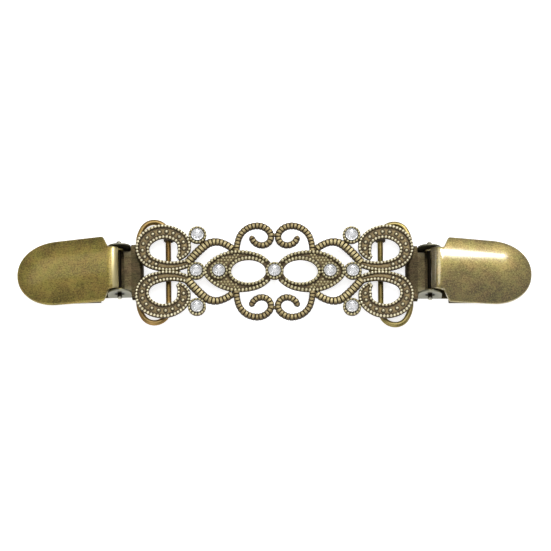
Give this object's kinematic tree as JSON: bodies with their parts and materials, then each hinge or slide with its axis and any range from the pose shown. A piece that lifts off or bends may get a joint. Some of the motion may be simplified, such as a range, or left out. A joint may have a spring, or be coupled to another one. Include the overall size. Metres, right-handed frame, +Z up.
{
  "type": "sweater clip",
  "caption": "Long ornamental clip for closing a cardigan: a pierced scrollwork panel set with round stones, joined by wire rings to a lidded sheet metal clip at each end.",
  "frame": {"origin": "centre of the clip's bounding box, at the surface it lies on", "axes": "+X along the clip towards its right end, +Y across it towards the picture's upper edge, +Z up through the decorated face"},
  "size_m": [0.1556, 0.034, 0.009],
  "materials": {
    "casting": "antiqued cast metal, pale worn beads and dark brown recesses",
    "crystal": "clear faceted stone with a foiled back",
    "ring_wire_left": "drawn wire, warm brass",
    "ring_wire_right": "drawn wire, olive brass",
    "clip_sheet": "stamped sheet, dull brown brass with grey edges",
    "pin_steel": "worn bare steel",
    "lid_brass": "brushed antique brass, mottled olive"
  },
  "bodies": {
    "panel": {"filigree": "casting", "stone_centre": "crystal", "stone_inner_left": "crystal", "stone_inner_right": "crystal", "stone_mid_left": "crystal", "stone_mid_right": "crystal", "stone_top_left": "crystal", "stone_top_right": "crystal", "stone_bottom_left": "crystal", "stone_bottom_right": "crystal"},
    "ring_left": {"ring_left": "ring_wire_left"},
    "clip_left": {"clip_base_left": "clip_sheet", "hinge_pin_left": "pin_steel"},
    "lid_left": {"clip_lid_left": "lid_brass"},
    "ring_right": {"ring_right": "ring_wire_right"},
    "clip_right": {"clip_base_right": "clip_sheet", "hinge_pin_right": "pin_steel"},
    "lid_right": {"clip_lid_right": "lid_brass"}
  },
  "joints": [
    {"name": "ring_left_hinge", "type": "hinge", "parent": "panel", "child": "ring_left", "pos_m": [-0.0319, 0, 0.0016], "axis": [0, -1, 0], "range_deg": [0, 75]},
    {"name": "ring_right_hinge", "type": "hinge", "parent": "panel", "child": "ring_right", "pos_m": [0.0319, 0, 0.0016], "axis": [0, 1, 0], "range_deg": [0, 75]},
    {"name": "clip_left_hinge", "type": "hinge", "parent": "ring_left", "child": "clip_left", "pos_m": [-0.04085, 0.00044, 0.0016], "axis": [0.0314, -0.9995, 0], "range_deg": [-5, 75]},
    {"name": "clip_right_hinge", "type": "hinge", "parent": "ring_right", "child": "clip_right", "pos_m": [0.04085, 0, 0.0016], "axis": [0, 1, 0], "range_deg": [-5, 75]},
    {"name": "lid_left_hinge", "type": "hinge", "parent": "clip_left", "child": "lid_left", "pos_m": [-0.0466, 0.00026, 0.0044], "axis": [-0.0314, 0.9995, 0], "range_deg": [0, 100]},
    {"name": "lid_right_hinge", "type": "hinge", "parent": "clip_right", "child": "lid_right", "pos_m": [0.0466, 0, 0.0044], "axis": [0, -1, 0], "range_deg": [0, 100]}
  ]
}
